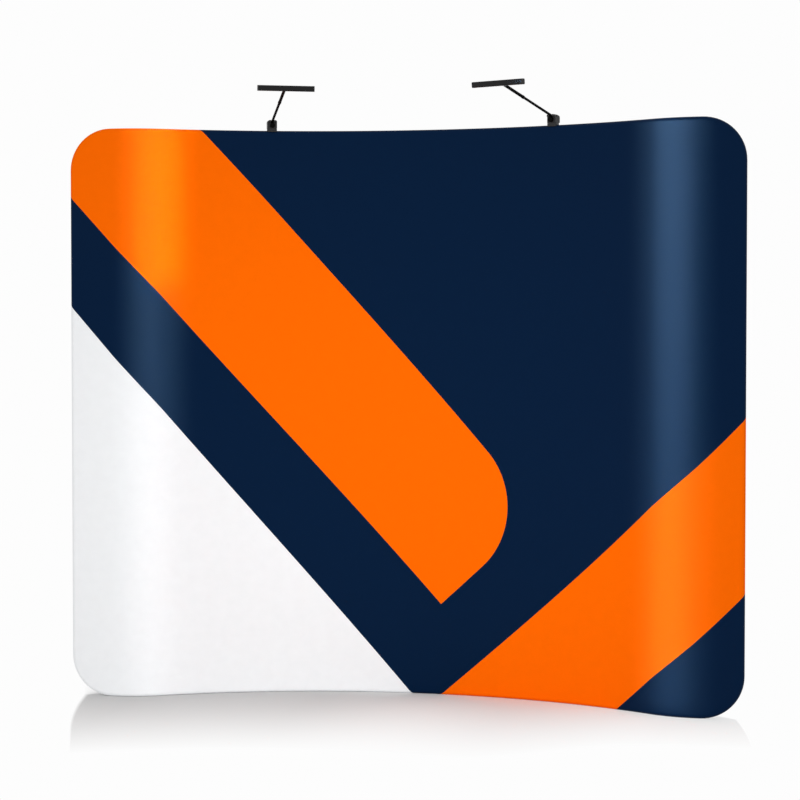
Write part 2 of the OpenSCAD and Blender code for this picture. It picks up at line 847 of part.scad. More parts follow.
module lamp_turret(side) {
    middle = (turret_back - turret_front - nose_out) / 2;
    length = turret_back + turret_front + nose_out;
    color(lamp_black) at_turret(side) difference() {
        intersection() {
            translate([0, middle, turret_bottom]) linear_extrude(turret_h)
                rounded_plan(turret_w, length, base_edge_r);
            translate([0, 0, turret_top - base_w]) rotate([90, 0, 0]) linear_extrude(3 * length, center = true)
                translate([0, base_w / 2]) rounded_plan(turret_w, base_w, turret_edge_r);
            translate([0, 0, turret_bottom]) rotate([90, 0, 90]) linear_extrude(2 * base_w, center = true)
                turret_profile();
        }
        cylinder(d = spigot_d + 2 * turn_gap, h = spigot_bore_top);
        translate([-eye_w / 2 - turn_gap, slot_back - length, slot_bottom])
            cube([eye_w + 2 * turn_gap, length, turret_h]);
        translate([0, pivot_y, pivot_z]) cross_bar(pin_d, base_w);
        translate([0, 0, knob_z]) front_bar(knob_screw_d + 2 * turn_gap, 0, length);
        translate([0, turret_back + slack, knob_z]) front_bar(gland_d, 0, gland_seat + slack);
    }
}

module lamp_pin(side) {
    color(alloy) at_turret(side) translate([0, pivot_y, pivot_z]) cross_bar(pin_d, turret_w - base_edge_r);
}

module lamp_knob(side) {
    color(satin_black) at_turret(side) translate([0, 0, knob_z]) {
        translate([0, knob_face, 0]) rotate([90, 0, 0]) linear_extrude(knob_t) difference() {
            circle(d = knob_d);
            for (flute = [1 : knob_flutes]) rotate(flute * 360 / knob_flutes)
                translate([knob_d / 2 + knob_flute_out, 0]) circle(d = knob_flute_d);
        }
        front_bar(knob_screw_d, spigot_d / 2 + turn_gap, slack - knob_face);
    }
}

module lamp_gland(side) {
    color(satin_black) at_turret(side) translate([0, turret_back + gland_l - gland_seat, knob_z])
        difference() {
            front_bar(gland_d, 0, gland_l);
            front_bar(gland_d / 2, -slack, gland_bore);
        }
}

module lamp_rod(side) {
    color(satin_black) at_arm(side) difference() {
        union() {
            cross_bar(eye_d, eye_w);
            front_bar(rod_d, 0, rod_end);
        }
        cross_bar(pin_d + 2 * turn_gap, eye_w + slack);
    }
}

module lamp_sleeve(side) {
    tip_neck = arm_l - tip_d / 2 - ear_t;
    color(satin_black) at_arm(side) difference() {
        union() {
            front_bar(sleeve_d, collar_end, tip_neck);
            front_bar(collar_d, collar_end, collar_end + collar_l);
            front_bar(tip_w - slack, collar_end + collar_l, arm_l);
            translate([0, -arm_l, 0]) cross_bar(tip_d, tip_w);
        }
        front_bar(sleeve_bore_d, collar_end - slack, rod_end + swage_gap);
        translate([0, -arm_l, 0]) cross_bar(pin_d + 2 * turn_gap, tip_w + slack);
    }
}

// Two ears with their pin, on a plate that carries the housing.
module lamp_bracket(side) {
    ear_at = tip_w / 2 + turn_gap + ear_t / 2;
    color(lamp_black) at_head(side) {
        for (x = [-ear_at, ear_at]) {
            translate([x, 0, 0]) cross_bar(tip_d, ear_t);
            translate([x - ear_t / 2, housing_back, -tip_d / 2]) cube([ear_t, -housing_back, tip_d]);
        }
        cross_bar(pin_d, bracket_w);
        translate([-bracket_w / 2, housing_back, -tip_d / 2]) cube([bracket_w, bracket_t, tip_d]);
    }
}

module housing_section() {
    difference() {
        rounded_plan(head_d, head_t, head_edge_r);
        for (groove = [0 : rib_count])
            translate([head_edge_r - head_d / 2 + groove * rib_pitch - groove_w / 2, head_t / 2 - rib_depth])
                square([groove_w, rib_depth + slack]);
    }
}

module along_head(length) {
    translate([-length / 2, housing_back - head_d / 2, 0]) rotate([90, 0, 90])
        linear_extrude(length) children();
}

module lamp_housing(side) {
    color(lamp_black) at_head(side) difference() {
        along_head(housing_l) housing_section();
        along_head(window_l) translate([-window_d / 2, -head_t / 2 - slack])
            square([window_d, window_t + slack]);
    }
}

module lamp_caps(side) {
    color(satin_black) at_head(side) for (end = [-1, 1])
        translate([end * (housing_l + cap_t) / 2, 0, 0]) along_head(cap_t)
            rounded_plan(head_d, head_t, head_edge_r);
}

module lamp_window(side) {
    fit = swage_gap;
    color("white") at_head(side) along_head(window_l - 2 * fit)
        translate([fit - window_d / 2, -head_t / 2]) square([window_d - 2 * fit, window_t]);
}

// ---------- the pieces ----------

top_left_tube();
top_right_tube();
bottom_left_tube();
bottom_right_tube();
mirror([1, 0, 0]) upper_corner_tube();  // upper_left_corner_tube
upper_corner_tube();  // upper_right_corner_tube
mirror([1, 0, 0]) lower_corner_tube();  // lower_left_corner_tube
lower_corner_tube();  // lower_right_corner_tube
pole_lower(-1);  // left_pole_lower
pole_upper(-1);  // left_pole_upper
pole_lower(1);  // right_pole_lower
pole_upper(1);  // right_pole_upper
pole_saddles();
rim_button(0);  // button_top_left
rim_button(1);  // button_top_middle
rim_button(2);  // button_top_right
lower_copy() rim_button(0);  // button_bottom_left
lower_copy() rim_button(1);  // button_bottom_middle
lower_copy() rim_button(2);  // button_bottom_right
mirror([1, 0, 0]) side_button();  // button_side_left
side_button();  // button_side_right
pole_button(-1);  // button_pole_left
pole_button(1);  // button_pole_right
button_springs();
front_graphic();
back_panel();
zipper_lower_tape();
zipper_upper_tape();
zipper_teeth();
zipper_stops();
zipper_slider();
zipper_pull();
lamp_inserts();
cover_eyelets();
lamp_bolts();
lamp_foot(-1);  // left_lamp_foot
lamp_turret(-1);  // left_lamp_turret
lamp_pin(-1);  // left_lamp_pin
lamp_knob(-1);  // left_lamp_knob
lamp_gland(-1);  // left_lamp_gland
lamp_rod(-1);  // left_lamp_rod
lamp_sleeve(-1);  // left_lamp_sleeve
lamp_bracket(-1);  // left_lamp_bracket
lamp_housing(-1);  // left_lamp_housing
lamp_caps(-1);  // left_lamp_caps
lamp_window(-1);  // left_lamp_window
lamp_foot(1);  // right_lamp_foot
lamp_turret(1);  // right_lamp_turret
lamp_pin(1);  // right_lamp_pin
lamp_knob(1);  // right_lamp_knob
lamp_gland(1);  // right_lamp_gland
lamp_rod(1);  // right_lamp_rod
lamp_sleeve(1);  // right_lamp_sleeve
lamp_bracket(1);  // right_lamp_bracket
lamp_housing(1);  // right_lamp_housing
lamp_caps(1);  // right_lamp_caps
lamp_window(1);  // right_lamp_window
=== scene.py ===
from math import cos, pi, radians, sin

import bpy
import numpy as np
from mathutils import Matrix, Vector


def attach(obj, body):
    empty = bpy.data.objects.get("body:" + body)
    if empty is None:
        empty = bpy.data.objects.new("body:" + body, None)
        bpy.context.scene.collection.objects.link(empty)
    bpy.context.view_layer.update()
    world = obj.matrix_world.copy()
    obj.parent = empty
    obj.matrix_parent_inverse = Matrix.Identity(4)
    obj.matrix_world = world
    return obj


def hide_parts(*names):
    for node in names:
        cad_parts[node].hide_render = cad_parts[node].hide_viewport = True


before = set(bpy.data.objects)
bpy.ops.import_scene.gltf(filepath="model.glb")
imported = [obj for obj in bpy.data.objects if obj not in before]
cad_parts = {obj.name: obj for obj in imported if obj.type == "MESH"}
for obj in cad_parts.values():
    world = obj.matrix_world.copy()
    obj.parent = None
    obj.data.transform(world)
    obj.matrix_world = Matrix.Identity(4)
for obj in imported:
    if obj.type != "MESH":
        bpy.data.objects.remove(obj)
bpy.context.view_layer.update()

# ---------- Viewpoint ----------
# The display is seen from about eye height, nearly nine metres away and a little to its right, through a
# long lens that keeps its upright ends parallel.
camera = bpy.data.objects.new("viewpoint", bpy.data.cameras.new("viewpoint"))
camera.location = (1.8231, -8.5768, 1.4915)
camera.rotation_euler = (radians(88.04), 0, radians(12.40))
camera.data.lens = 97.53
camera.data.sensor_width = 36
camera.data.clip_end = 200
bpy.context.scene.collection.objects.link(camera)
bpy.context.scene.camera = camera
bpy.context.scene.view_settings.view_transform = "Standard"

# ---------- Studio: white room ----------
# An even white room lights the display from all sides. The camera and mirror reflections see the room a
# little brighter than it shines, as clean white paper.
room_light = 0.80
paper_white = 0.982


def shader(tree, kind, sockets=(), **settings):
    """Adds a shader node, with its settings and its sockets' values or incoming links."""
    made = tree.nodes.new("ShaderNode" + kind)
    for setting, value in settings.items():
        setattr(made, setting, value)
    for socket, value in dict(sockets).items():
        if isinstance(value, bpy.types.NodeSocket):
            tree.links.new(value, made.inputs[socket])
        else:
            made.inputs[socket].default_value = value
    return made


def number(tree, operation, *values, clamp=False):
    """A Math node's result."""
    return shader(tree, "Math", enumerate(values), operation=operation, use_clamp=clamp).outputs[0]


def blank(data):
    """An empty shader tree for a material or the world, and its output node."""
    data.use_nodes = True
    data.node_tree.nodes.clear()
    kind = "OutputWorld" if isinstance(data, bpy.types.World) else "OutputMaterial"
    return data.node_tree, shader(data.node_tree, kind)


def seen_directly(tree):
    """1 for the camera, for mirror reflections and through glass, and 0 for light on its way round."""
    path = shader(tree, "LightPath").outputs
    return number(tree, "MAXIMUM", path["Is Camera Ray"],
                  number(tree, "MAXIMUM", path["Is Glossy Ray"], path["Is Transmission Ray"]))


room = bpy.data.worlds.new("white_room")
bpy.context.scene.world = room
tree, out = blank(room)
strength = shader(tree, "Mix", {0: seen_directly(tree), 2: room_light, 3: paper_white}).outputs[0]
sky = shader(tree, "Background", {"Color": (1, 1, 1, 1), "Strength": strength})
tree.links.new(sky.outputs[0], out.inputs[0])

# ---------- Studio: floor ----------
# A matt white floor that keeps the display's soft shadow. The shadow fades out in front of and behind the
# curve and ends along a slanting line at either side. A painted shade makes it deepest on the left, and
# painted light, a mix towards the white glow, makes it palest on the right.
floor_half = 40
arc_r, arc_end = 1.887, radians(31.5)
end_depth = 0.328
fade_reach = 1.25
edge_soft, edge_growth = 0.02, 1.5
corner_reach, corner_inset = 0.75, 0.057
far_y = 7.921
shadow_sides = [((-4.528, far_y), (-1.361, -end_depth)),
                ((1.385, -end_depth), (0.907, far_y))]
painted_shade_from, painted_shade_to, painted_shade_tones = -0.4, 0.15, (0.575, 0.81)
painted_light_from, painted_light_to, painted_light_shares = 0.35, 1.15, (0.0, 0.55)
bounce_tone = 0.86


def ramp(tree, value, start, end, results):
    """A soft change from one result to another while a value runs from a start to an end."""
    sockets = {0: value, 1: start, 2: end, 3: results[0], 4: results[1]}
    return shader(tree, "MapRange", sockets, interpolation_type="SMOOTHSTEP").outputs[0]


def right_of(tree, place, start, end):
    """Distance to the right of a straight walk across a flat layout."""
    along = Vector((end[0] - start[0], end[1] - start[1])).normalized()
    right = Vector((along.y, -along.x))
    reach = shader(tree, "VectorMath", {0: place, 1: (*right, 0)}, operation="DOT_PRODUCT").outputs["Value"]
    return number(tree, "SUBTRACT", reach, right.dot(Vector(start)))


floor_mesh = bpy.data.meshes.new("floor")
floor_corners = [(-floor_half, -floor_half, 0), (floor_half, -floor_half, 0),
                 (floor_half, floor_half, 0), (-floor_half, floor_half, 0)]
floor_mesh.from_pydata(floor_corners, [], [(0, 1, 2, 3)])
floor = bpy.data.objects.new("floor", floor_mesh)
bpy.context.scene.collection.objects.link(floor)
floor_paint = bpy.data.materials.new("floor_paint")
tree, out = blank(floor_paint)
floor_place = shader(tree, "TexCoord").outputs["Object"]
x, y, _ = shader(tree, "SeparateXYZ", {0: floor_place}).outputs

# How far the floor lies from the foot of the display, as a share of the shadow's reach.
y_squared = number(tree, "SUBTRACT", arc_r ** 2, number(tree, "POWER", x, 2.0))
arc_y = number(tree, "SQRT", number(tree, "MAXIMUM", y_squared, 0.0))
wall_y = number(tree, "MAXIMUM", number(tree, "SUBTRACT", arc_y, arc_r), -end_depth)
away = number(tree, "DIVIDE", number(tree, "ABSOLUTE", number(tree, "SUBTRACT", y, wall_y)), fade_reach)

# The shadow's sides: crisp in front and softer behind, and drawn in where they meet the display.
behind = number(tree, "MAXIMUM", number(tree, "ADD", y, end_depth), 0.0)
softness = number(tree, "ADD", edge_soft, number(tree, "MULTIPLY", behind, edge_growth))
ahead = number(tree, "DIVIDE", number(tree, "SUBTRACT", wall_y, y), corner_reach)
by_corner = number(tree, "SUBTRACT", 1.0, ahead, clamp=True)
inset = number(tree, "MULTIPLY", number(tree, "POWER", by_corner, 2.0), corner_inset)
beside = []
for side in shadow_sides:
    outside = number(tree, "ADD", right_of(tree, floor_place, *side), inset)
    beside.append(number(tree, "ADD", number(tree, "DIVIDE", outside, softness), 1.0))

# Where the shadow has faded out the floor glows as white as the room.
faded = number(tree, "MAXIMUM", away, number(tree, "MAXIMUM", *beside), clamp=True)
# Painted light: towards the right the floor is mixed more towards the white glow, so the shadow is paler
# there.
painted_light = ramp(tree, x, painted_light_from, painted_light_to, painted_light_shares)
fade = number(tree, "ADD", faded, painted_light, clamp=True)
direct = seen_directly(tree)
# Painted shade: seen directly, the floor's colour darkens towards the left, while the light it throws back
# keeps one plain tone.
tone = ramp(tree, x, painted_shade_from, painted_shade_to, painted_shade_tones)
paint = shader(tree, "Mix", {0: direct, 2: bounce_tone, 3: tone}).outputs[0]
matt = shader(tree, "BsdfDiffuse", {"Color": paint}).outputs[0]
glow = shader(tree, "Emission", {"Strength": paper_white}).outputs[0]
both = shader(tree, "MixShader", {0: number(tree, "MULTIPLY", direct, fade), 1: matt, 2: glow})
tree.links.new(both.outputs[0], out.inputs[0])
floor_mesh.materials.append(floor_paint)

# ---------- Studio: lamps ----------
# A soft lamp in front of the middle lights the cloth's plain colour. A fan of narrow bluish strips draws
# the upright band of sheen on each wing, and three weak narrow lamps lift the wings' colour.
lamp_z = 1.75
narrow_beam = 4
strip_size, strip_tint = (0.16, 2.4), (0.30, 0.59, 1.0)
fan_reach, fan_count, fan_step = 3.0, 6, 12
right_wing, left_wing = (1.08, -0.30, 1.2), (-1.01, -0.30, 1.2)
left_stand = (0.44, -2.90)

# Each fan has a side, a wing that it is aimed at, its first strip's bearing in degrees and its strips' power.
fans = [("right", right_wing, -60, 2.7), ("left", left_wing, -8, 2.0)]


def soft_lamp(name, place, aim, size, power, beam=180, tint=(1, 1, 1), sheen=True, fill=True):
    """A soft lamp that the camera doesn't see, for the sheen on surfaces, their plain colour or both."""
    lamp = bpy.data.objects.new(name, bpy.data.lights.new(name, "AREA"))
    lamp.data.shape = "RECTANGLE"
    lamp.data.size, lamp.data.size_y = size
    lamp.data.energy = power
    lamp.data.color = tint
    lamp.data.spread = radians(beam)
    lamp.location = place
    lamp.rotation_euler = (Vector(aim) - Vector(place)).to_track_quat("-Z", "Y").to_euler()
    lamp.visible_camera = False
    lamp.visible_glossy = sheen
    lamp.visible_diffuse = fill
    bpy.context.scene.collection.objects.link(lamp)


soft_lamp("middle_lamp", place=(0, -1.95, 1.15), aim=(0, 0, 1.15), size=(0.3, 2.2), power=14.5, sheen=False)
for side, wing, first_bearing, power in fans:
    for k in range(fan_count):
        bearing = radians(first_bearing + fan_step * k)
        place = (wing[0] + fan_reach * sin(bearing), wing[1] - fan_reach * cos(bearing), lamp_z)
        soft_lamp(f"{side}_strip_{k + 1}", place, aim=wing, size=strip_size, power=power,
                  beam=narrow_beam, tint=strip_tint, fill=False)
soft_lamp("right_wing_lamp", place=(-0.65, -2.85, lamp_z), aim=right_wing, size=strip_size, power=0.72,
          beam=narrow_beam, sheen=False)
soft_lamp("left_wing_lamp", place=(*left_stand, lamp_z), aim=left_wing, size=strip_size, power=0.085,
          beam=narrow_beam, sheen=False)
soft_lamp("left_top_lamp", place=(*left_stand, 2.0), aim=(-1.0, -0.27, 2.0), size=(0.16, 0.7), power=0.31,
          beam=narrow_beam, sheen=False)

# ---------- Printed cover ----------
# The front of the pillowcase cover: white stretch knit, printed all over. Its edge wraps round the rim
# tubes to the seam at the back. It is cut flat, sewn to the back panel, and pulled tight over the frame.
return_r = 0.338
end_run = 0.016
corner_r = 0.150
skin_r = 0.016
cloth_t = 0.0008
rim_low, rim_high = 0.0156, 2.264
zipper_h = 0.030
band_top = rim_low + zipper_h
return_x = (arc_r + return_r) * sin(arc_end)
return_y = (arc_r + return_r) * cos(arc_end) - arc_r
arc_s = arc_r * arc_end
return_s = arc_s + return_r * arc_end
corner_s = return_s + end_run


def on_curve(s, z, back):
    """Points s metres along the plan curve, at height z, and back metres behind the tubes' centreline. The
    hem is flattened where it stands on the floor."""
    s, z, back = np.broadcast_arrays(*(np.asarray(v, float) for v in (s, z, back)))
    side, s = np.where(s < 0, -1.0, 1.0), abs(s)
    on_arc = s < arc_s
    turn = np.where(on_arc, s / arc_r, np.clip(arc_end - (s - arc_s) / return_r, 0, None))
    run = np.clip(s - return_s, 0, None)
    x = np.where(on_arc, arc_r * np.sin(turn), return_x - return_r * np.sin(turn) + run)
    y = np.where(on_arc, arc_r * np.cos(turn) - arc_r, return_y - return_r * np.cos(turn))
    return np.stack([side * (x + back * np.sin(turn)), y + back * np.cos(turn), np.maximum(z, 0)], -1)


def sewn_piece(name, points, faces, cloth, uv=None, smooth=True):
    """A mesh object with its material and, where the weave needs it, the cloth's flat layout as UVs."""
    mesh = bpy.data.meshes.new(name)
    mesh.from_pydata(np.reshape(points, (-1, 3)).tolist(), [], [tuple(int(i) for i in f) for f in faces])
    mesh.validate()
    if uv is not None:
        flat = mesh.uv_layers.new(name="flat_cloth")
        corners = np.zeros(len(mesh.loops), int)
        mesh.loops.foreach_get("vertex_index", corners)
        flat.data.foreach_set("uv", np.reshape(uv, (-1, 2))[corners].astype(np.float32).ravel())
    if smooth:
        mesh.shade_smooth()
    else:
        mesh.shade_flat()
    mesh.materials.append(cloth)
    piece = bpy.data.objects.new(name, mesh)
    bpy.context.scene.collection.objects.link(piece)
    return piece


def grid_faces(columns, rows, keep=lambda c, r: True):
    """Quads of a grid of vertices that is stored column by column."""
    return [(c * rows + r, (c + 1) * rows + r, (c + 1) * rows + r + 1, c * rows + r + 1)
            for c in range(columns - 1) for r in range(rows - 1) if keep(c, r)]


# Columns run over the curve and round the corners, rows go from hem to hem.
arc_columns, return_columns, corner_columns = 73, 25, 17
face_rows, wrap_rings = 61, 14
bend = np.linspace(0, pi / 2, corner_columns)
right_half = np.concatenate([np.linspace(0, arc_s, arc_columns),
                             np.linspace(arc_s, return_s, return_columns)[1:],
                             corner_s + corner_r * np.sin(bend)])
columns_s = np.concatenate([-right_half[:0:-1], right_half])
lean = np.arcsin(np.clip((abs(columns_s) - corner_s) / corner_r, 0, 1))
above_zip = np.linspace((band_top - rim_low) / (rim_high - rim_low), 1, face_rows)
row_share = np.concatenate([[0], above_zip])
rise = corner_r * (1 - np.cos(lean))
low, high = rim_low + rise, rim_high - rise
cloth_s = np.repeat(columns_s[:, None], len(row_share), 1)
cloth_z = low[:, None] + (high - low)[:, None] * row_share


def flat_place(tree):
    """A point's place on the cloth as it is cut, and the distances along the cloth and up it."""
    flat = shader(tree, "UVMap", uv_map="flat_cloth").outputs[0]
    along, up, _ = shader(tree, "SeparateXYZ", {0: flat}).outputs
    return flat, along, up


def wave(tree, reach, pitch):
    """A sine wave of a given pitch along a distance."""
    return number(tree, "SINE", number(tree, "DIVIDE", number(tree, "MULTIPLY", reach, 2 * pi), pitch))


def blend(tree, share, under, over):
    """A colour that is covered by another one where the share is 1."""
    colours = [c if isinstance(c, bpy.types.NodeSocket) else (*c, 1) for c in (under, over)]
    return shader(tree, "Mix", {0: share, 6: colours[0], 7: colours[1]}, data_type="RGBA").outputs[2]


rib_pitch, course_pitch, course_share = 0.0009, 0.0007, 0.5


def weave_group():
    """Fine upright ribs of a warp knit, with cross courses and slight cloudiness in the dye."""
    made = bpy.data.node_groups.new("knit_weave", "ShaderNodeTree")
    for name, value in (("Rib pitch", rib_pitch), ("Course pitch", course_pitch)):
        made.interface.new_socket(name, in_out="INPUT", socket_type="NodeSocketFloat").default_value = value
    for name in ("Height", "Cloud"):
        made.interface.new_socket(name, in_out="OUTPUT", socket_type="NodeSocketFloat")
    given, result = made.nodes.new("NodeGroupInput"), made.nodes.new("NodeGroupOutput")
    flat, along, up = flat_place(made)
    ribs = wave(made, along, given.outputs["Rib pitch"])
    courses = wave(made, up, given.outputs["Course pitch"])
    height = number(made, "ADD", ribs, number(made, "MULTIPLY", courses, course_share))
    cloud = shader(made, "TexNoise", {"Vector": flat, "Scale": 22.0, "Detail": 4.0, "Roughness": 0.6})
    made.links.new(height, result.inputs["Height"])
    made.links.new(cloud.outputs[0], result.inputs["Cloud"])
    return made


knit = weave_group()
relief_depth = 0.0001
cloud_tones = 0.97, 1.03


def knit_cloth(name, dye, rough, sheen, bump):
    """A knitted or woven cloth: the dye is one colour, or a function that draws the cloth's colour and
    roughness in the material's tree."""
    cloth = bpy.data.materials.new(name)
    tree, out = blank(cloth)
    weave = shader(tree, "Group", node_tree=knit)
    if callable(dye):
        dye, rough = dye(tree)
    cloud = {0: weave.outputs["Cloud"], 3: cloud_tones[0], 4: cloud_tones[1]}
    tone = shader(tree, "MapRange", cloud).outputs[0]
    shaded = shader(tree, "VectorMath", {0: dye, 3: tone}, operation="SCALE").outputs[0]
    height = weave.outputs["Height"]
    relief = shader(tree, "Bump", {"Strength": bump, "Distance": relief_depth, "Height": height}).outputs[0]
    skin = shader(tree, "BsdfPrincipled", {"Base Color": shaded, "Roughness": rough,
                                           "Specular IOR Level": sheen, "Normal": relief})
    tree.links.new(skin.outputs[0], out.inputs[0])
    return cloth


# The artwork is drawn flat, in metres along the cloth and up it. Each edge in it is a straight walk with its
# colour on the right. The knit is stretched less towards the right wing's edge and the top, so the artwork
# lies closer together there.
navy = (0.0010, 0.0112, 0.0395)
orange = (0.985, 0.142, 0.0002)
white = (0.905, 0.92, 0.935)
navy_rough, light_rough = 0.42, 1.0
nose_r = 0.325
wing_s, wing_squeeze = 1.08, 0.38
top_z, top_squeeze = 1.93, 0.112


def squeezed(tree, reach, start, squeeze):
    """A distance across the artwork, which lies closer together on the cloth the further past a start."""
    past = number(tree, "MAXIMUM", number(tree, "SUBTRACT", reach, start), 0.0)
    return number(tree, "ADD", reach, number(tree, "MULTIPLY", number(tree, "POWER", past, 2.0), squeeze))


def draw_print(tree):
    """Slanting colour blocks: navy ground, two orange stripes and a white corner."""
    _, along, up = flat_place(tree)
    across = squeezed(tree, along, wing_s, wing_squeeze)
    place = shader(tree, "CombineXYZ", {0: across, 1: squeezed(tree, up, top_z, top_squeeze)}).outputs[0]
    left_top = right_of(tree, place, (-0.870, 2.289), (0.270, 1.032))
    left_under = right_of(tree, place, (0.095, 0.387), (-1.405, 2.0105))
    left_end = right_of(tree, place, (0.278, 0.518), (0.138, 0.391))
    white_top = right_of(tree, place, (-1.381, 1.5465), (-0.010, 0.0))
    right_top = right_of(tree, place, (0.151, 0.033), (1.391, 1.094))
    right_under = right_of(tree, place, (1.400, 0.437), (0.903, 0.018))

    # The left stripe's top and end meet in a round nose.
    from_centre = [number(tree, "MAXIMUM", number(tree, "SUBTRACT", nose_r, edge), 0.0)
                   for edge in (left_top, left_end)]
    squares = [number(tree, "POWER", distance, 2.0) for distance in from_centre]
    nose = number(tree, "LESS_THAN", number(tree, "ADD", *squares), nose_r ** 2)
    left_stripe = number(tree, "MULTIPLY", nose, number(tree, "GREATER_THAN", left_under, 0.0))
    right_stripe = number(tree, "MULTIPLY", number(tree, "GREATER_THAN", right_top, 0.0),
                          number(tree, "GREATER_THAN", right_under, 0.0))
    stripes = number(tree, "MAXIMUM", left_stripe, right_stripe)
    white_corner = number(tree, "GREATER_THAN", white_top, 0.0)
    ink = blend(tree, white_corner, blend(tree, stripes, navy, orange), white)
    light = number(tree, "MAXIMUM", stripes, white_corner)
    return ink, shader(tree, "MapRange", {0: light, 3: navy_rough, 4: light_rough}).outputs[0]


printed_knit = knit_cloth("printed_knit", draw_print, rough=None, sheen=0.035, bump=0.12)

# The face of the cover, then the rings that carry its edge round the tubes.
rows = len(row_share)
last = len(columns_s) - 1
index = np.arange(cloth_s.size).reshape(cloth_s.shape)
edge = np.concatenate([index[:, 0], index[last, 1:], index[last - 1::-1, -1], index[0, rows - 2:0:-1]])
out_s, out_z = np.zeros(cloth_s.shape), np.zeros(cloth_s.shape)
out_s[0], out_s[last] = -1, 1
for row, up in ((0, -1), (rows - 1, 1)):
    out_s[:, row] = np.sign(columns_s) * np.sin(lean)
    out_z[:, row] = up * np.cos(lean)
edge_s, edge_z, edge_out_s, edge_out_z = (a.ravel()[edge] for a in (cloth_s, cloth_z, out_s, out_z))
points = [on_curve(cloth_s, cloth_z, -skin_r).reshape(-1, 3)]
layout = [np.stack([cloth_s, cloth_z], -1).reshape(-1, 2)]
for wrap in np.linspace(0, pi, wrap_rings + 1)[1:]:
    reach, flat_reach = skin_r * sin(wrap), skin_r * wrap
    points.append(on_curve(edge_s + edge_out_s * reach, edge_z + edge_out_z * reach, -skin_r * cos(wrap)))
    layout.append(np.stack([edge_s + edge_out_s * flat_reach, edge_z + edge_out_z * flat_reach], -1))
faces = grid_faces(last + 1, rows)
rings = [edge] + [cloth_s.size + k * len(edge) + np.arange(len(edge)) for k in range(wrap_rings)]
for near, far in zip(rings, rings[1:]):
    faces += list(zip(near, far, np.roll(far, -1), np.roll(near, -1)))
cover = sewn_piece("printed_cover", np.concatenate(points), faces, printed_knit, np.concatenate(layout))


def give_thickness(piece, thickness):
    """Thickens a sheet inwards from its outer face."""
    solid = piece.modifiers.new("cloth_thickness", "SOLIDIFY")
    solid.thickness, solid.offset = thickness, -1


give_thickness(cover, cloth_t)
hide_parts("front_graphic")
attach(cover, "stand")

# ---------- Back panel ----------
# Plain white knit that closes the cover behind the frame. It is sewn to the printed cover's edge all round,
# and ends above the zipper along the bottom of the arc.
plain_knit = knit_cloth("plain_knit", (0.86, 0.86, 0.87), rough=0.6, sheen=0.05, bump=0.12)
over_zip = abs(columns_s[:-1] + columns_s[1:]) / 2 < arc_s
back_faces = grid_faces(last + 1, rows, lambda c, r: r > 0 or not over_zip[c])
back = sewn_piece("back_cloth", on_curve(cloth_s, cloth_z, skin_r), [f[::-1] for f in back_faces],
                  plain_knit, np.stack([cloth_s, cloth_z], -1))
give_thickness(back, cloth_t)
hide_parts("back_panel")
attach(back, "stand")

# ---------- Cover seam ----------
# The overlocked seam that joins the printed cover to the back panel all round the rim, except along the
# zipper: a folded edge under white polyester thread, raised a millimetre.
seam_half, seam_rise = 0.0021, 0.0011
seam_profile = [(-1, 0), (-0.7, 0.75), (0, 1), (0.7, 0.75), (1, 0)]
overlock_pitch, overlock_slant = 0.003, 0.6
# The darker thread colour is painted shade between the stitches; the lighter one is the thread's own white.
thread_painted_shade, thread_light, thread_rough = (0.55, 0.55, 0.56), (0.84, 0.84, 0.85), 0.6
ring = np.arange(len(edge))
after = np.roll(ring, -1)
seam_run = np.cumsum(np.hypot(edge_s - np.roll(edge_s, 1), edge_z - np.roll(edge_z, 1)))
seam_points, seam_layout = [], []
for across, up in seam_profile:
    reach = across * seam_half
    seam_points.append(on_curve(edge_s + edge_out_s * reach, edge_z + edge_out_z * reach,
                                skin_r + up * seam_rise))
    seam_layout.append(np.stack([seam_run, np.full(len(edge), reach)], -1))
beyond_zip = (edge_z > band_top) | (np.maximum(abs(edge_s), abs(edge_s[after])) > arc_s + 1e-6)
seam_faces = [(r * len(edge) + k, (r + 1) * len(edge) + k,
               (r + 1) * len(edge) + after[k], r * len(edge) + after[k])
              for k in ring[beyond_zip] for r in range(len(seam_profile) - 1)]


def overlock(tree):
    """Slanting overlock stitches, three to the centimetre, with painted shade between them."""
    _, along, up = flat_place(tree)
    slant = number(tree, "ADD", along, number(tree, "MULTIPLY", up, overlock_slant))
    share = number(tree, "MULTIPLY", number(tree, "ADD", wave(tree, slant, overlock_pitch), 1.0), 0.5)
    return blend(tree, share, thread_painted_shade, thread_light), thread_rough


overlock_thread = knit_cloth("overlock_thread", overlock, rough=None, sheen=0.2, bump=0.3)
seam = sewn_piece("cover_seam", np.concatenate(seam_points), seam_faces, overlock_thread,
                  np.concatenate(seam_layout))
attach(seam, "stand")

# ---------- Zipper tapes ----------
# Two woven polyester tapes, twelve millimetres wide, one sewn to the printed cover and one to the back
# panel, each with a line of stitches.
tape_w, chain_w = 0.012, 0.006
tape_columns, tape_rows = 281, 5
chain_low = rim_low + tape_w
chain_high = chain_low + chain_w
tape_s = np.linspace(-arc_s, arc_s, tape_columns)
woven_tape = knit_cloth("woven_tape", (0.012, 0.012, 0.014), rough=0.55, sheen=0.3, bump=0.35)
tapes = [("lower_tape", rim_low, "printed_cover"), ("upper_tape", chain_high, "back_cloth")]
for name, bottom, joined in tapes:
    tape_z = np.linspace(bottom, bottom + tape_w, tape_rows)
    tape = sewn_piece("zipper_" + name + "_cloth", on_curve(tape_s[:, None], tape_z, skin_r),
                      [f[::-1] for f in grid_faces(tape_columns, tape_rows)], woven_tape,
                      np.stack(np.broadcast_arrays(tape_s[:, None], tape_z), -1))
    give_thickness(tape, cloth_t)
    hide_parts("zipper_" + name)
    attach(tape, "stand")

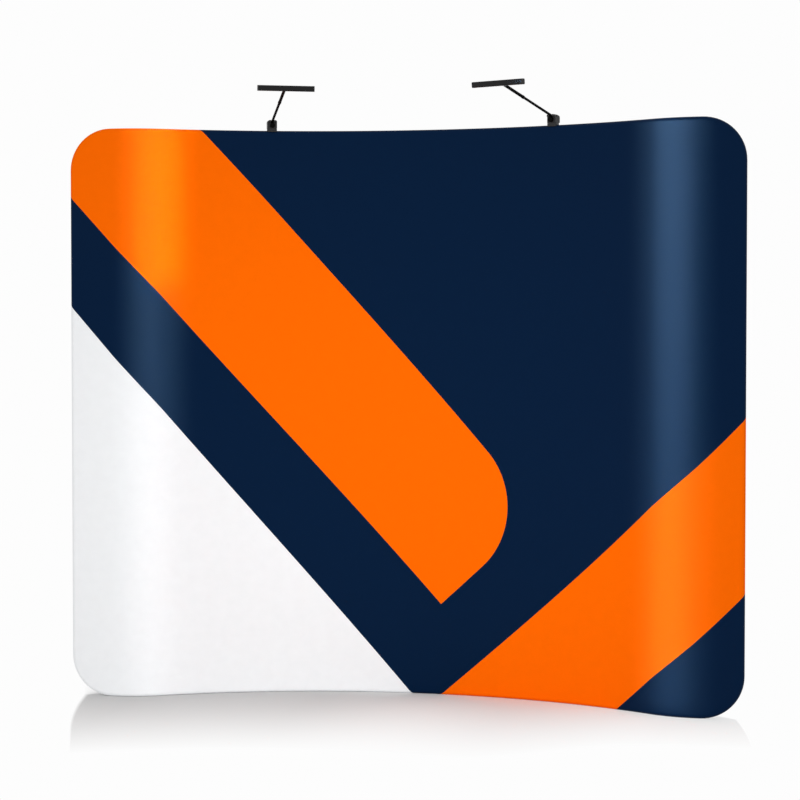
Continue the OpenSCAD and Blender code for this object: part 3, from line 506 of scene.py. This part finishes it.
# ---------- Zipper stitching ----------
# Lockstitches in black polyester thread, three millimetres apart, in a line along each tape, about a third
# of its width in from the edge that is sewn on.
stitch_pitch, stitch_half, stitch_rise = 0.003, 0.0012, 0.0004
stitch_crown = 0.6 * stitch_half
stitch_in = 0.3 * tape_w
stitch_outline = [(-stitch_half, skin_r), (stitch_half, skin_r),
                  (stitch_crown, skin_r + stitch_rise), (-stitch_crown, skin_r + stitch_rise)]
stitch_rows = [(z - stitch_rise, z + stitch_rise) for z in (rim_low + stitch_in, band_top - stitch_in)]


def along_zipper(name, outline, pitch, half_run, levels, material):
    """One mesh of small equal solids in rows on the back of the arc, each a prism between two heights.
    The outline is across the row, as (along the curve, back from the tubes' centreline)."""
    outline = np.array(outline)
    count, sides = int(2 * half_run / pitch), len(outline)
    middle = (np.arange(count) - (count - 1) / 2) * pitch
    points, faces = [], []
    for low_z, high_z in levels:
        base = len(points) * count * 2 * sides
        ends = [on_curve(middle[:, None] + outline[:, 0], z, outline[:, 1]) for z in (low_z, high_z)]
        points.append(np.concatenate(ends, 1).reshape(-1, 3))
        for first in base + np.arange(count) * 2 * sides:
            low_ring, high_ring = first + np.arange(sides), first + sides + np.arange(sides)
            faces += [tuple(low_ring[::-1]), tuple(high_ring)]
            faces += list(zip(low_ring, np.roll(low_ring, -1), np.roll(high_ring, -1), high_ring))
    return sewn_piece(name, np.concatenate(points), faces, material, smooth=False)


black_thread = knit_cloth("black_thread", (0.03, 0.03, 0.033), rough=0.5, sheen=0.3, bump=0.2)
stitches = along_zipper("zipper_stitches", stitch_outline, stitch_pitch, arc_s, stitch_rows, black_thread)
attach(stitches, "stand")

# ---------- Zipper chain ----------
# Two rows of moulded black teeth, a millimetre and a half apart, clamped on the tapes' edges. A narrow
# seam is left between the rows, where the slider's web runs.
tooth_pitch, chain_t, chain_seam = 0.0015, 0.0022, 0.0012
chain_half = arc_s - 0.010
row_h = (chain_w - chain_seam) / 2
cloth_middle = skin_r - cloth_t / 2
tooth_half, tooth_edge = 0.00052, 0.0003
tooth_flat = tooth_half - tooth_edge
tooth_front, tooth_back = cloth_middle - chain_t / 2, cloth_middle + chain_t / 2
tooth_outline = [(-tooth_half, tooth_front + tooth_edge), (-tooth_flat, tooth_front),
                 (tooth_flat, tooth_front), (tooth_half, tooth_front + tooth_edge),
                 (tooth_half, tooth_back - tooth_edge), (tooth_flat, tooth_back),
                 (-tooth_flat, tooth_back), (-tooth_half, tooth_back - tooth_edge)]


def fine_relief_group():
    """Very small pits and lumps, for moulded plastic, powder coat and drawn metal."""
    made = bpy.data.node_groups.new("fine_relief", "ShaderNodeTree")
    for name, value in (("Grain", 900.0), ("Stretch", 1.0)):
        made.interface.new_socket(name, in_out="INPUT", socket_type="NodeSocketFloat").default_value = value
    for name in ("Height", "Wear"):
        made.interface.new_socket(name, in_out="OUTPUT", socket_type="NodeSocketFloat")
    given, result = made.nodes.new("NodeGroupInput"), made.nodes.new("NodeGroupOutput")
    place = shader(made, "TexCoord").outputs["Object"]
    scale = shader(made, "CombineXYZ", {0: given.outputs["Stretch"], 1: 1.0, 2: 1.0}).outputs[0]
    drawn = shader(made, "VectorMath", {0: place, 1: scale}, operation="MULTIPLY").outputs[0]
    grain = shader(made, "TexNoise", {"Vector": drawn, "Scale": given.outputs["Grain"], "Detail": 2.0})
    wear = shader(made, "TexNoise", {"Vector": place, "Scale": 35.0, "Detail": 3.0})
    made.links.new(grain.outputs[0], result.inputs["Height"])
    made.links.new(wear.outputs[0], result.inputs["Wear"])
    return made


fine_relief = fine_relief_group()
gloss_drift = 0.06


def hard_finish(name, colour, rough, bump=0.15, grain=900.0, stretch=1.0, metal=0.0, shine=0.5, coat=0.0):
    """A moulded, painted or metal finish: one colour, fine relief and slightly uneven gloss."""
    made = bpy.data.materials.new(name)
    tree, out = blank(made)
    relief = shader(tree, "Group", {"Grain": grain, "Stretch": stretch}, node_tree=fine_relief).outputs
    drift = {0: relief["Wear"], 3: rough - gloss_drift, 4: rough + gloss_drift}
    gloss = shader(tree, "MapRange", drift).outputs[0]
    bumps = {"Strength": bump, "Distance": relief_depth, "Height": relief["Height"]}
    normal = shader(tree, "Bump", bumps).outputs[0]
    skin = shader(tree, "BsdfPrincipled", {"Base Color": (*colour, 1), "Roughness": gloss, "Normal": normal,
                                           "Metallic": metal, "Specular IOR Level": shine,
                                           "Coat Weight": coat})
    tree.links.new(skin.outputs[0], out.inputs[0])
    return made


moulded_black = hard_finish("moulded_black", (0.008, 0.008, 0.0085), 0.48, shine=0.25)
teeth = along_zipper("zipper_chain_teeth", tooth_outline, tooth_pitch, chain_half,
                     [(chain_low, chain_low + row_h), (chain_high - row_h, chain_high)], moulded_black)
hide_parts("zipper_teeth")
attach(teeth, "stand")

# ---------- Zipper slider, pull and stops ----------
# The slider that runs on the chain, the pull that hangs on its bail, and the stops clamped on the chain's
# ends. They are cast in zinc and lacquered black.
worn_angle = radians(35)


def dress(material, *names, edge=0.0):
    """Gives CAD pieces their finish and, with an edge width, small worn edges that catch the light."""
    for name in names:
        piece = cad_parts[name]
        piece.data.materials.clear()
        piece.data.materials.append(material)
        if edge:
            joined = piece.modifiers.new("joined_edges", "WELD")
            joined.merge_threshold = 1e-6
            soft = piece.modifiers.new("soft_edges", "BEVEL")
            soft.width, soft.segments, soft.limit_method = edge, 2, "ANGLE"
            soft.angle_limit = worn_angle
            soft.use_clamp_overlap = True
            soft.harden_normals = True


lacquered_zinc = hard_finish("lacquered_zinc", (0.02, 0.02, 0.022), 0.30, coat=0.4)
dress(lacquered_zinc, "zipper_slider", "zipper_pull", "zipper_stops", edge=0.0002)

# ---------- Frame tubes and poles ----------
# The rim is bent from eight tubes, and each of the two upright poles inside the cover is two more. They are
# drawn aluminium, bright anodised, and plug into each other with swaged ends.
anodised = hard_finish("anodised_aluminium", (0.72, 0.73, 0.74), 0.33, bump=0.05, grain=500.0, stretch=0.1,
                       metal=1.0)
dress(anodised, *[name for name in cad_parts
                  if name.endswith("_tube") or "_pole_" in name and "button" not in name])

# ---------- Pole saddles ----------
# Saddles at the ends of the poles, each with a plug in the pole and a peg in the rim tube. They are moulded
# in black nylon with a fine grain.
dress(moulded_black, "pole_saddles", edge=0.0004)

# ---------- Snap buttons and springs ----------
# A turned steel button, nickel plated, locks each tube joint. A folded leaf of blued spring steel inside
# the tube pushes it out.
nickel = hard_finish("nickel_plate", (0.66, 0.64, 0.60), 0.22, bump=0.03, metal=1.0)
blued = hard_finish("spring_steel", (0.16, 0.17, 0.20), 0.35, bump=0.05, metal=1.0)
dress(nickel, *[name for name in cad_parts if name.startswith("button_") and name != "button_springs"])
dress(blued, "button_springs")

# ---------- Lamp feet and turrets ----------
# Each lamp's foot is bolted down over the cover's top edge, and its turret swivels on the foot's spigot.
# Both are die-cast bodies in black powder coat, with a slight orange-peel grain.
powder_coat = hard_finish("powder_coat", (0.020, 0.020, 0.021), 0.50, bump=0.35, grain=1400.0, shine=0.30)
for side in ("left", "right"):
    dress(powder_coat, side + "_lamp_foot", side + "_lamp_turret", edge=0.0006)

# ---------- Lamp knobs ----------
# Fluted knobs that clamp the turrets on their feet, with a screw through the turret's front. They have a
# dull soft-touch skin over black nylon.
soft_touch = hard_finish("soft_touch_black", (0.002, 0.002, 0.002), 0.65, bump=0.2, shine=0.06)
dress(soft_touch, "left_lamp_knob", "right_lamp_knob", edge=0.0004)

# ---------- Lamp cable glands ----------
# Short glands of moulded black rubber, pushed into the lead's hole at the back of each turret, so that its
# edge can't cut the lead.
gland_rubber = hard_finish("gland_rubber", (0.015, 0.015, 0.015), 0.72, bump=0.1)
dress(gland_rubber, "left_lamp_gland", "right_lamp_gland", edge=0.0003)

# ---------- Lamp arms ----------
# A rod with a hinge eye at its foot, pushed into a collared sleeve with an eye at its top. Both are
# aluminium with a satin black lacquer.
satin_lacquer = hard_finish("satin_lacquer", (0.002, 0.002, 0.002), 0.55, bump=0.05, shine=0.08)
for side in ("left", "right"):
    dress(satin_lacquer, side + "_lamp_rod", side + "_lamp_sleeve", edge=0.0003)

# ---------- Lamp brackets and housings ----------
# Extruded ribbed housings on two-eared brackets, of black anodised aluminium. Moulded caps close the
# housings' ends.
extrusion = hard_finish("black_extrusion", (0.006, 0.006, 0.0063), 0.42, bump=0.12, grain=1200.0,
                        stretch=0.05, shine=0.2)
for side in ("left", "right"):
    dress(extrusion, side + "_lamp_bracket", side + "_lamp_housing", edge=0.0004)
    dress(moulded_black, side + "_lamp_caps", edge=0.0008)

# ---------- Lamp windows ----------
# Frosted polycarbonate that is let into the housing's face and spreads the light over the cover.
frosted = hard_finish("frosted_window", (0.70, 0.71, 0.72), 0.55, bump=0.1)
dress(frosted, "left_lamp_window", "right_lamp_window", edge=0.0003)

# ---------- Lamp fixings ----------
# Threaded inserts in the top tube, bolts that hold the lamps' feet, and the arms' hinge pins, of zinc
# plated steel. The eyelets that the bolts pass in the cover are nickel plated.
zinc = hard_finish("zinc_plate", (0.58, 0.59, 0.60), 0.30, bump=0.05, metal=1.0)
dress(zinc, "lamp_inserts", "lamp_bolts", "left_lamp_pin", "right_lamp_pin")
dress(nickel, "cover_eyelets")
